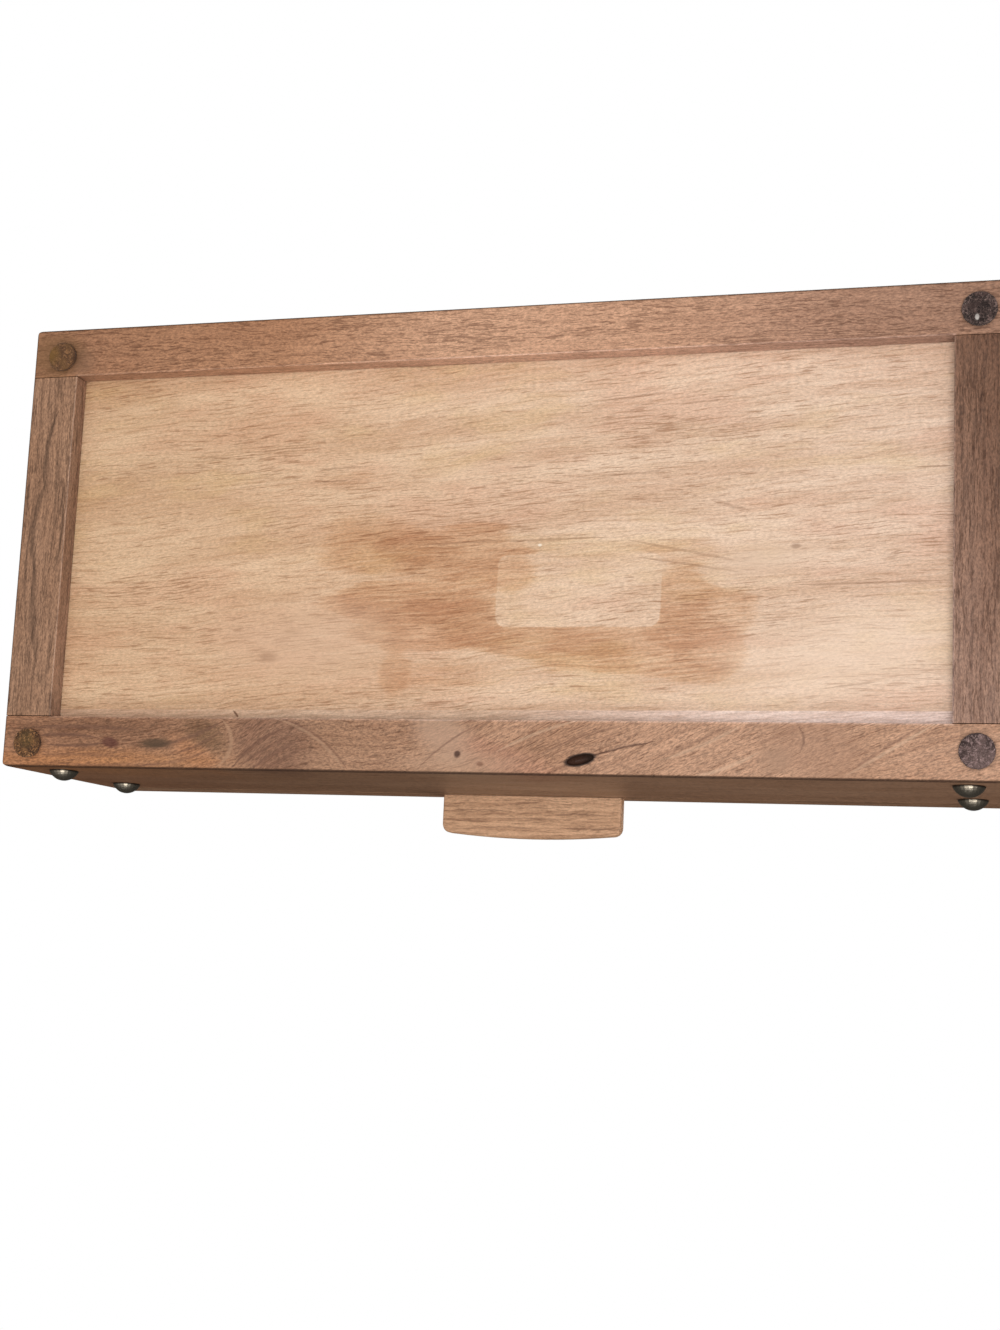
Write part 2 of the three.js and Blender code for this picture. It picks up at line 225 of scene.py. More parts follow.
# a thin line that follows an arc: a crack, a scratch, a figure line or a long dark pore
def makeArc():
    tree, given, result = newGroup("markArc", "Place Centre Middle", "Radius Reach Width Ragged", "Mask")
    place = given["Place"]
    off = split(tree, vec(tree, "SUBTRACT", place, given["Centre"]))
    side = minus(tree, vec(tree, "LENGTH", join(tree, off[0], off[1], 0.0)), given["Radius"])
    rough = noise(tree, place, (0.35, 0.6, 0.6), 3.0, 0.6)
    side = plus(tree, side, wobble(tree, rough, given["Ragged"]))
    gap = vec(tree, "LENGTH", join(tree, side, off[2], 0.0))
    share = calc(tree, "DIVIDE", vec(tree, "DISTANCE", place, given["Middle"]), given["Reach"])
    width = times(tree, given["Width"], ease(tree, share, 0.5, 1.0, 1.0, 0.25))
    core = put(tree, "ShaderNodeMapRange", gap, times(tree, width, 0.3), width, 1.0, 0.0).outputs[0]
    feed(tree, result, {"Mask": times(tree, core, ease(tree, share, 0.98, 1.06, 1.0, 0.0))})
    return tree


# the circle through three points of a line, in plan
def circleThrough(start, middle, end):
    a, b, c = Vector(start[:2]), Vector(middle[:2]), Vector(end[:2])
    bend = (b - a).cross(c - a)
    if abs(bend) < 0.05:
        b += (c - a).orthogonal().normalized() * 0.05
        bend = (b - a).cross(c - a)
    up, down = (b - a).length_squared, (c - a).length_squared
    toX = (c - a).y * up - (b - a).y * down
    toY = (b - a).x * down - (c - a).x * up
    centre = a + Vector((toX, toY)) / (2 * bend)
    return (centre.x, centre.y, middle[2]), (a - centre).length


# how close a point lies to the long edges of a block, for rubbed arrises and the painted highlight along them
def makeEdge():
    tree, given, result = newGroup("rubbedEdgeAndHighlight", "Place Centre Half", "Width", "Mask")
    place, width = given["Place"], given["Width"]
    off = vec(tree, "ABSOLUTE", vec(tree, "SUBTRACT", place, given["Centre"]))
    depth = split(tree, vec(tree, "SUBTRACT", off, given["Half"]))
    pairs = [calc(tree, "MINIMUM", depth[a], depth[b]) for a, b in ((0, 1), (1, 2), (0, 2))]
    second = calc(tree, "MAXIMUM", calc(tree, "MAXIMUM", pairs[0], pairs[1]), pairs[2])
    rough = noise(tree, place, (0.09, 0.09, 0.09), 4.0, 0.65)
    inward = plus(tree, second, times(tree, rough, width))
    feed(tree, result, {"Mask": ease(tree, inward, times(tree, width, -0.6), width)})
    return tree


# walnut: growth rings about a heart line along x, fibre streaks, pores and slow clouds of colour
def makeTimber():
    tree, given, result = newGroup("walnutGrain", "Place Heart", "Ring Wander Pores",
                                   "Rings Fibre Fine Pore Cloud")
    place = given["Place"]
    drift = scaled(tree, stray(tree, place, (0.009, 0.035, 0.035), (0, 1, 1)), given["Wander"])
    ripple = stray(tree, place, (0.06, 0.12, 0.12), (0.0, 2.2, 2.2))
    bent = vec(tree, "ADD", vec(tree, "ADD", place, drift), ripple)
    fromHeart = vec(tree, "MULTIPLY", vec(tree, "SUBTRACT", bent, given["Heart"]), (0, 1, 1))
    shake = noise(tree, bent, (0.02, 0.2, 0.2), 3.0, 0.6)
    rings = calc(tree, "DIVIDE", vec(tree, "LENGTH", fromHeart), given["Ring"])
    phase = plus(tree, rings, times(tree, shake, 1.3))
    saw = calc(tree, "FRACT", phase)
    late = times(tree, calc(tree, "POWER", saw, 2.4), ease(tree, saw, 0.88, 1.0, 1.0, 0.0))
    dash = noise(tree, bent, (0.17, 1.9, 1.9), 2.0, 0.6)
    crowd = noise(tree, bent, (0.03, 0.16, 0.16), 2.0, 0.5)
    level = plus(tree, dash, wobble(tree, crowd, 0.35))
    least = minus(tree, 0.68, times(tree, given["Pores"], 0.16))
    feed(tree, result, {
        "Rings": calc(tree, "MULTIPLY", late, 1.25, clamp=True),
        "Fibre": noise(tree, bent, (0.045, 0.75, 0.75), 4.0, 0.72),
        "Fine": noise(tree, bent, (0.7, 1.8, 1.8), 3.0, 0.75),
        "Pore": ease(tree, level, least, plus(tree, least, 0.08)),
        "Cloud": noise(tree, bent, (0.012, 0.05, 0.05), 3.0, 0.55),
    })
    return tree


# a rotary-cut veneer: soft bands, wavering fibres and short dark pores that rise a little
def makeVeneer():
    tree, given, result = newGroup("veneerGrain", "Place", "Slope Sway", "Band Hue Fibre Fine Pore")
    place = given["Place"]
    broad = noise(tree, place, (0.011, 0.02, 0.02), 2.0, 0.5)
    small = noise(tree, place, (0.055, 0.08, 0.08), 2.0, 0.5)
    sway = plus(tree, times(tree, broad, given["Sway"]), times(tree, small, 1.6))
    lean = minus(tree, sway, times(tree, split(tree, place)[0], given["Slope"]))
    bent = vec(tree, "ADD", place, join(tree, 0.0, lean, 0.0))
    dash = noise(tree, bent, (0.1, 1.8, 1.8), 2.0, 0.6)
    crowd = noise(tree, bent, (0.015, 0.06, 0.06), 3.0, 0.6)
    feed(tree, result, {
        "Band": noise(tree, bent, (0.010, 0.09, 0.09), 4.0, 0.6),
        "Hue": noise(tree, bent, (0.016, 0.05, 0.05), 3.0, 0.6),
        "Fibre": noise(tree, bent, (0.06, 1.0, 1.0), 4.0, 0.72),
        "Fine": noise(tree, bent, (0.6, 1.7, 1.7), 3.0, 0.78),
        "Pore": ease(tree, plus(tree, dash, wobble(tree, crowd, 0.45)), 0.6, 0.68),
    })
    return tree


# felt: matted fibres in all directions, with clumps
def makeFelt():
    tree, given, result = newGroup("mattedFelt", "Place", "Size", "Fibre Clump Lint")
    place = scaled(tree, given["Place"], given["Size"])
    bent = vec(tree, "ADD", place, stray(tree, place, (0.7, 0.7, 0.7), (3.0, 3.0, 3.0)))
    long = noise(tree, bent, (2.6, 0.7, 1.6), 4.0, 0.75)
    cross = noise(tree, bent, (0.7, 2.6, 1.6), 4.0, 0.75)
    speck = put(tree, "ShaderNodeTexVoronoi", vec(tree, "MULTIPLY", bent, (0.75, 0.75, 0.75)))
    feed(tree, result, {
        "Fibre": calc(tree, "MAXIMUM", long, cross),
        "Clump": noise(tree, place, (0.42, 0.42, 0.42), 4.0, 0.65),
        "Lint": ease(tree, speck.outputs["Distance"], 0.10, 0.26, 1.0, 0.0),
    })
    return tree


# plated or polished metal: dark tarnish in clouds, fine scratches and pits
def makeTarnish():
    tree, given, result = newGroup("oldMetal", "Place", "Amount", "Tarnish Scratch Pit")
    place = given["Place"]
    cloud = noise(tree, place, (0.45, 0.45, 0.45), 5.0, 0.65)
    edge = minus(tree, 0.75, times(tree, given["Amount"], 0.4))
    pit = put(tree, "ShaderNodeTexVoronoi", vec(tree, "MULTIPLY", place, (1.3, 1.3, 1.3)))
    feed(tree, result, {
        "Tarnish": ease(tree, cloud, edge, plus(tree, edge, 0.16)),
        "Scratch": noise(tree, place, (0.5, 9.0, 9.0), 3.0, 0.7),
        "Pit": ease(tree, pit.outputs["Distance"], 0.06, 0.18, 1.0, 0.0),
    })
    return tree


markSpot, markArc, rubbedEdgeAndHighlight = makeSpot(), makeArc(), makeEdge()
walnutGrain, veneerGrain, mattedFelt, oldMetal = makeTimber(), makeVeneer(), makeFelt(), makeTarnish()
print("shared effects built")


def newMaterial(name):
    material = bpy.data.materials.new(name)
    material.use_nodes = True
    tree = material.node_tree
    tree.nodes.clear()
    shader = put(tree, "ShaderNodeBsdfPrincipled")
    put(tree, "ShaderNodeOutputMaterial", shader.outputs[0])
    place = vec(tree, "MULTIPLY", put(tree, "ShaderNodeTexCoord").outputs["Object"], (1000, 1000, 1000))
    return material, tree, shader, place


# the last wiring of a material: colour, roughness and the bump of its grain
def surface(tree, shader, look, colour, rough, height):
    bump = put(tree, "ShaderNodeBump")
    feed(tree, bump, {"Strength": look["bump"], "Distance": look["bumpDepth"], "Height": height})
    feed(tree, shader, {"Base Color": colour, "Roughness": rough, "Specular IOR Level": look["specular"],
                        "Normal": bump.outputs[0]})


def dress(piece, material):
    piece.data.materials.clear()
    piece.data.materials.append(material)


# the faces that lines are drawn on, by their height in millimetres
sawnFace, sheetFace, tabFace = 2.3, 10, 90.4


# a soft spot: where, how far it reaches, its colour and its strength
def spot(centre, reach, colour, amount, soft=0.6, ragged=0.8, **more):
    return {"centre": centre, "reach": reach, "colour": paint(*colour), "amount": amount, "soft": soft,
            "ragged": ragged, **more}


# a line through two or three points of a face
def line(face, points, width, colour, amount, **more):
    start, *middle, end = ((x, y, face) for x, y in points)
    middle = middle[0] if middle else [(a + b) / 2 for a, b in zip(start, end)]
    return {"start": start, "middle": middle, "end": end, "width": width, "amount": amount,
            "colour": paint(*colour), **more}


def stainMarks(tree, place, colour, height, marks):
    for mark in marks:
        if "start" in mark:
            centre, radius = circleThrough(mark["start"], mark["middle"], mark["end"])
            mask = useGroup(tree, markArc, Place=place, Centre=centre, Radius=radius, Middle=mark["middle"],
                            Reach=math.dist(mark["start"], mark["end"]) / 2, Width=mark["width"],
                            Ragged=mark.get("ragged", 0.3))["Mask"]
        else:
            mask = useGroup(tree, markSpot, Place=place, Centre=mark["centre"], Reach=mark["reach"],
                            Turn=math.radians(mark.get("turn", 0)), Soft=mark["soft"],
                            Ragged=mark["ragged"], Grain=mark.get("grain", 0.3))["Mask"]
        colour = layer(tree, colour, mask, mark["amount"], mark["colour"])
        if "dent" in mark:
            height = minus(tree, height, times(tree, mask, mark["dent"]))
    return colour, height


def walnut(name, piece, look):
    material, tree, shader, place = newMaterial(name)
    parts = split(tree, place)
    grainPlace = place
    if "swings" in look:  # the grain swings about on the sawn underside only
        swing = grainSwing(tree, parts[0], look["swings"])
        swing = times(tree, swing, ease(tree, parts[2], *look["swingFade"], -1.0, 0.0))
        grainPlace = vec(tree, "ADD", place, join(tree, 0.0, swing, 0.0))
    if look.get("across"):  # the grain runs along y
        grainPlace = turn(tree, place, math.pi / 2)
    grainPlace = vec(tree, "ADD", grainPlace, look["shift"])
    grain = useGroup(tree, walnutGrain, Place=grainPlace, Heart=look["heart"], Ring=look["ring"],
                     Wander=look["wander"], Pores=look["pores"])
    fibre, pore = grain["Fibre"], grain["Pore"]
    colour = blend(tree, ease(tree, grain["Cloud"], 0.34, 0.66), look["pale"], look["mid"])
    colour = stainMarks(tree, place, colour, 0.0, look.get("patches", []))[0]
    colour = layer(tree, colour, grain["Rings"], look["ringDark"], look["dark"])
    colour = layer(tree, colour, ease(tree, fibre, 0.48, 0.72), look["streakDark"], look["dark"])
    colour = layer(tree, colour, ease(tree, fibre, 0.5, 0.28), look["glint"], look["pale"])
    fine = ease(tree, grain["Fine"], 0.26, 0.74, 1 - look["fine"], 1 + look["fine"])
    colour = tinted(tree, colour, grey(tree, fine))
    colour = layer(tree, colour, pore, look["poreDark"], look["poreTone"])
    height = times(tree, grain["Fine"], look["fineRelief"])
    height = plus(tree, height, times(tree, fibre, look["fibreRelief"]))
    height = minus(tree, height, times(tree, pore, look["poreDepth"]))
    # colour that changes along the board: partly the wood's own, partly painted shade across the box
    if "tintsAndShade" in look:
        along = parts[1] if look.get("across") else parts[0]
        colour = tinted(tree, colour, tintAlong(tree, along, look["tintsAndShade"]))
    colour, height = stainMarks(tree, place, colour, height, look.get("marks", []))

    # the oiled outside of the box is deeper in colour than its sawn underside and its inside: partly its oil
    # finish, partly painted shade on all its outer faces
    if look.get("allOiled"):
        colour = tinted(tree, colour, look["oilAndShade"])
        shader.inputs["Coat Weight"].default_value = look["coat"]
    else:
        off = split(tree, vec(tree, "ABSOLUTE", vec(tree, "SUBTRACT", place, frameCentre)))
        out = calc(tree, "MAXIMUM", minus(tree, off[0], frameHalf[0]), minus(tree, off[1], frameHalf[1]))
        oiled = times(tree, ease(tree, out, *look["oilDepth"]),
                      ease(tree, plus(tree, parts[2], wobble(tree, fibre, 1.2)), *look["oilLine"]))
        colour = blend(tree, oiled, colour, tinted(tree, colour, look["oilAndShade"]))
        wire(tree, times(tree, oiled, look["coat"]), shader.inputs["Coat Weight"])
    low, high = (corner * 1000 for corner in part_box(piece))
    # rubbed edges: paler with wear and with a painted highlight along them
    rubAndHighlight = useGroup(tree, rubbedEdgeAndHighlight, Place=place, Centre=(low + high) / 2, Half=(high - low) / 2,
                   Width=look["rubWidth"])["Mask"]
    colour = layer(tree, colour, rubAndHighlight, look["rubAndHighlight"], tinted(tree, colour, look["rubAndHighlightTone"]))
    if not look.get("allOiled"):
        # painted shade: the lowest outer edge of the boards is darkened in colour
        edge = times(tree, band(tree, parts[2], look["edgeShadeBand"]), ease(tree, out, *look["edgeShadeDepth"]))
        colour = layer(tree, colour, edge, look["edgeShadeAmount"], look["edgeShadeTone"])
        # painted light: their inner faces, under the bottom panel, are made paler in colour
        inner = times(tree, ease(tree, out, *look["innerFace"], 1.0, 0.0),
                      ease(tree, parts[2], *look["innerTop"], 1.0, 0.0))
        colour = blend(tree, inner, colour, tinted(tree, colour, look["revealPaintedLight"]))
    rough = ease(tree, grain["Cloud"], 0.3, 0.7, look["rough"] - 0.05, look["rough"] + 0.07)
    rough = plus(tree, rough, times(tree, pore, 0.15))
    feed(tree, shader, {"Coat Roughness": look["coatRough"], "Coat IOR": look["coatIor"]})
    surface(tree, shader, look, colour, rough, height)
    dress(nodes[piece], material)


# the outside of the body's four boards, for telling its oiled faces from the rest
frontLow, frontHigh = (corner * 1000 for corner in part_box("front_board"))
backLow, backHigh = (corner * 1000 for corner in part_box("back_board"))
frameCentre, frameHalf = (frontLow + backHigh) / 2, (backHigh - frontLow) / 2

walnutBase = {
    "wander": 8.0, "pores": 0.5, "poreDark": 0.5, "ringDark": 0.35, "streakDark": 0.6, "fine": 0.36,
    # tones of the marks below: the rubbed edges' is wear and painted highlight, the oil tint is finish and
    # painted shade, the inner faces' is painted light, the lowest edge's is painted shade
    "rough": 0.52, "coat": 0.22, "coatRough": 0.34, "rubAndHighlight": 0.5, "rubAndHighlightTone": (1.25, 1.2, 1.15, 1.0),
    "oilAndShade": (0.68, 0.66, 0.62, 1.0), "revealPaintedLight": (1.19, 1.33, 1.54, 1.0), "edgeShadeTone": paint(52, 36, 28),
    "edgeShadeAmount": 0.8, "glint": 0.4, "rubWidth": 1.3, "coatIor": 1.45, "specular": 0.3,
    "fineRelief": 0.35, "fibreRelief": 0.25, "poreDepth": 0.5, "bump": 0.6, "bumpDepth": 0.00022,
    # heights above the floor and depths in from the outside, in millimetres, also for the painted shade along
    # the lowest outer edge and the painted light on the inner faces
    "oilLine": (2.6, 3.6), "oilDepth": (-1.6, -0.5),
    "edgeShadeBand": (2.4, 2.7, 3.6, 4.6), "edgeShadeDepth": (-1.5, -0.8),
    "innerFace": (-18.8, -18.2), "innerTop": (9.0, 10.5), "swingFade": (3.0, 9.0),
}

figurePale, figureDark = (214, 180, 152), (112, 78, 62)
# start, middle, end, width and strength of the dark figure lines near the board's right-hand end
darkFigure = [
    ((87.5, -76.7), (80.6, -69.8), (68.4, -63.8), 1.0, 0.6),
    ((85.5, -77.6), (76.6, -71.6), (64.5, -65.4), 0.7, 0.45),
    ((81.0, -78.6), (73.1, -73.3), (63.3, -68.2), 1.1, 0.5),
    ((76.1, -79.1), (69.6, -75.1), (63.1, -71.4), 0.8, 0.45),
    ((122.1, -71.5), (107.4, -67.8), (95.8, -62.9), 1.2, 0.6),
    ((111.9, -73.8), (102.2, -70), (94.6, -65.8), 0.8, 0.5),
    ((168.6, -67.7), (156.1, -67.2), (142.7, -68.4), 0.9, 0.7),
    ((165.2, -70.8), (152.7, -71.3), (141.5, -70.2), 0.8, 0.7),
    ((167.9, -75.2), (149.3, -74.6), (129.9, -75.3), 0.9, 0.4),
    ((125.6, -78.2), (111.7, -76.6), (96.2, -71.3), 0.8, 0.45),
    ((162.5, -77.8), (139.8, -78.4), (117.6, -77.6), 0.8, 0.4),
    ((170, -64.6), (150, -64.2), (126, -65.2), 1.0, 0.55),
]
frontLook = dict(
    walnutBase, shift=(40, 0, 0), heart=(0, -40, -14), ring=3.4, wander=10.0, fine=0.46,
    pale=paint(196, 154, 127), mid=paint(182, 140, 113), dark=paint(132, 92, 70),
    poreTone=paint(112, 76, 58), ringDark=0.22, streakDark=0.5, poreDark=0.55,
    swings=[(-183, 0), (-140, -10.8), (-30, -57), (20, -80), (66, -83), (92, -97), (183, -108)],
    tintsAndShade=[(-183, 0.94, 0.92, 0.9), (-135, 0.95, 0.94, 0.92), (-20, 0.87, 0.84, 0.8), (62, 0.72, 0.69, 0.64),
           (183, 0.69, 0.58, 0.49)],
    patches=[
        spot((143, -64, 2), (34, 3.2, 30), (134, 98, 76), 0.55, soft=0.7, ragged=1.6, grain=1.4),
        spot((150, -76.5, 2), (46, 3.6, 30), (226, 164, 110), 0.6, soft=0.7, ragged=1.0, grain=1.0),
        spot((104, -74, 2), (10, 4, 30), (214, 152, 108), 0.55, turn=-30, ragged=0.9),
        spot((100, -66.5, 2), (9, 4.5, 30), (134, 104, 76), 0.7, turn=-30, ragged=0.9, grain=0.8),
        spot((74, -69, 2), (16, 12, 30), (146, 106, 88), 0.6, turn=-25, soft=0.35, ragged=0.5),
        spot((-8, -73, 2), (26, 5, 30), (192, 138, 116), 0.5, turn=-18, soft=0.5),
    ],
    marks=[
        *(line(sawnFace, points, width, figureDark, amount, ragged=0.6)
          for *points, width, amount in darkFigure),
        # pale curved line where the reddish end of the board stops
        line(sawnFace, ((94.5, -61), (90, -70), (99, -79.5)), 1.1, (186, 146, 116), 0.5, ragged=0.8),
        # the line that closes the dark fan beyond it
        line(sawnFace, ((74, -60.5), (57.5, -67.5), (46, -79)), 0.8, (184, 146, 118), 0.4, ragged=0.8),
        line(sawnFace, ((72, -60.5), (55, -68), (44.5, -79)), 0.6, figureDark, 0.45, ragged=0.6),
        # pale speckled patch, its edge rising to the inner side
        spot((10, -66, 2), (12, 7, 30), (190, 158, 134), 0.55, turn=-35),
        spot((2, -76, 2), (20, 4.5, 30), (196, 160, 134), 0.4),
        line(sawnFace, ((17, -76.4), (7.5, -68.2), (-7, -60.5)), 0.5, figureDark, 0.5, ragged=0.5),
        # pale and dark figure lines that rise across the rest of the board
        line(sawnFace, ((-10, -71.5), (-24, -65), (-38, -60.5)), 0.8, figurePale, 0.36),
        line(sawnFace, ((-22, -74), (-40, -66), (-60, -61)), 0.6, figureDark, 0.3),
        line(sawnFace, ((-70, -73), (-82, -68.4), (-97, -60.5)), 0.9, figurePale, 0.36),
        line(sawnFace, ((-68, -72), (-80, -67.2), (-93, -60.5)), 0.6, figureDark, 0.3),
        line(sawnFace, ((-80, -79), (-90, -76), (-103, -69.5)), 0.9, figurePale, 0.4),
        line(sawnFace, ((-130, -78), (-144, -69.4), (-158, -60.8)), 0.8, figurePale, 0.4),
        line(sawnFace, ((-131, -76.7), (-143, -68.4), (-155, -60.8)), 0.6, figureDark, 0.45),
        spot((-120, -69, 2), (18, 10, 30), (158, 118, 94), 0.45, turn=-20, soft=0.4, ragged=0.6),
        spot((-106.5, -73, 2), (5.5, 4.5, 30), (164, 128, 104), 0.6, soft=0.5, ragged=0.4, grain=0.1),
        line(sawnFace, ((-115, -62.6), (-116, -66), (-113.6, -71.5)), 0.6, (96, 66, 52), 0.45, ragged=1.4),
        # pale marks low on the front face: painted highlights, drawn like scratches
        spot((-87, -85, 6.4), (9, 3, 0.6), (236, 204, 182), 0.5, ragged=0.5, grain=0.6),
        spot((-101, -85, 9.0), (8, 3, 0.55), (236, 204, 182), 0.4, ragged=0.5, grain=0.6),
        # small dark marks at the right-hand end
        spot((138.4, -69.9, 2), (3.2, 1.8, 4), (92, 50, 42), 0.8,
             turn=-14, soft=0.35, ragged=0.9, dent=0.5),
        spot((120, -70.2, 2), (6.4, 1.8, 4), (74, 58, 42), 0.8, soft=0.5, ragged=1.0, grain=0.8, dent=0.4),
        # pin knots near the middle and the hole left by a knot, with the crack running out of it
        spot((4.2, -72.5, 2.3), (1.2, 1.4, 3), (74, 46, 36), 0.9, soft=0.4, ragged=0.9, dent=0.5),
        spot((-4.3, -75.9, 2.3), (1.3, 0.8, 3), (120, 82, 62), 0.7, soft=0.5, ragged=0.5),
        spot((-40, -73.9, 2.3), (5.6, 2.2, 7), (44, 28, 21), 0.97, turn=13, soft=0.14, ragged=0.35),
        spot((-38.6, -74.1, 2.3), (3.0, 1.3, 7), (84, 50, 34), 0.5, turn=13, soft=0.5, ragged=1.4),
        line(sawnFace, ((-44, -72.6), (-54.5, -69.6), (-66, -67.3)), 0.5, (88, 56, 42), 0.8,
             ragged=1.3, dent=0.5),
    ])

backLook = dict(
    walnutBase, shift=(-90, 10, 5), heart=(0, 150, -60), ring=2.8, pores=0.85, poreDark=0.55,
    pale=paint(212, 166, 136), mid=paint(199, 153, 124), dark=paint(146, 103, 79),
    poreTone=paint(118, 80, 60), ringDark=0.22, streakDark=0.4,
    tintsAndShade=[(-183, 0.6, 0.58, 0.6), (-112, 0.76, 0.74, 0.76), (-60, 1.0, 1.0, 1.0), (20, 0.98, 0.97, 0.95),
           (78, 0.78, 0.69, 0.59), (183, 0.63, 0.54, 0.46)],
    marks=[
        # the worn pad has smeared and stained the wood round it
        spot((173.5, 79.5, 2), (11, 8.6, 30), (122, 88, 54), 0.6, soft=0.5, ragged=1.2, grain=1.0),
        spot((162.5, 76.5, 2), (5, 5.5, 30), (128, 96, 74), 0.45, ragged=1.2, grain=1.0),
    ])

rightLook = dict(
    walnutBase, across=True, shift=(15, 33, 0), heart=(0, -90, -50), ring=4.5, pores=0.7,
    pale=paint(176, 137, 110), mid=paint(156, 118, 92), dark=paint(96, 70, 54),
    poreTone=paint(86, 61, 47), ringDark=0.3, streakDark=0.8, fine=0.4,
    tintsAndShade=[(-60, 0.93, 0.91, 0.9), (0, 1.0, 0.98, 0.97), (72, 1.02, 1.0, 0.98)],
    # the dark figure that wanders along the board
    marks=[line(sawnFace, points, width, (70, 50, 38), amount, ragged=0.9)
           for *points, width, amount in (
        ((171, 58), (174.5, 42), (173.8, 26), 1.3, 0.55), ((173.8, 30), (177.3, 12), (175.4, -6), 1.6, 0.5),
        ((175.6, -4), (175, -20), (170.8, -44), 1.8, 0.45), ((166.6, 26), (165.4, 10), (167, -4), 0.8, 0.5),
        ((178.6, 20), (179.2, -8), (176, -34), 0.7, 0.35), ((170, 40), (169, 20), (170.4, -14), 0.7, 0.3))])

leftLook = dict(
    walnutBase, across=True, shift=(-60, 12, 0), heart=(0, 60, -70), ring=3.2, pores=0.7,
    pale=paint(166, 131, 113), mid=paint(150, 115, 97), dark=paint(94, 66, 55),
    poreTone=paint(80, 55, 45), ringDark=0.35, streakDark=0.8, fine=0.4,
    tintsAndShade=[(-60, 1.0, 1.0, 1.0), (0, 0.8, 0.74, 0.68), (40, 0.62, 0.54, 0.46), (72, 0.53, 0.44, 0.36)])

lidLook = dict(
    walnutBase, allOiled=True, shift=(5, 0, 0), heart=(0, 14, 58), ring=4.4, wander=13.0, pores=0.7,
    pale=paint(190, 148, 118), mid=paint(172, 128, 100), dark=paint(112, 78, 60),
    poreTone=paint(96, 66, 50), ringDark=0.55, streakDark=0.45)

tabLook = dict(
    walnutBase, allOiled=True, shift=(12, 0, 6), heart=(0, -130, 60), ring=2.6, wander=5.0, pores=0.75,
    pale=paint(223, 179, 143), mid=paint(205, 160, 125), dark=paint(142, 101, 73), oilAndShade=(1.0, 1.0, 1.0, 1.0),
    poreTone=paint(112, 78, 58), poreDark=0.4, ringDark=0.5, streakDark=0.75, fine=0.2, rubWidth=0.8,
    marks=[line(tabFace, ((start, row), ((start + end) / 2, row + bow), (end, row)), 0.4,
                (104, 72, 52), 0.45, ragged=1.0) for start, end, row, bow in (
        (34, 8, -85.5, 0.5), (12, -14, -88.5, 0.6), (-6, -32, -86.5, 0.5),
        (26, -4, -92.3, 0.7), (-10, -34, -91.2, -0.4), (30, 16, -89.6, 0.3))])

walnut("frontWalnut", "front_board", frontLook)
walnut("backWalnut", "back_board", backLook)
walnut("rightWalnut", "right_board", rightLook)
walnut("leftWalnut", "left_board", leftLook)
walnut("lidWalnut", "lid", lidLook)
walnut("tabWalnut", "lid_tab", tabLook)
print("walnut boards finished")


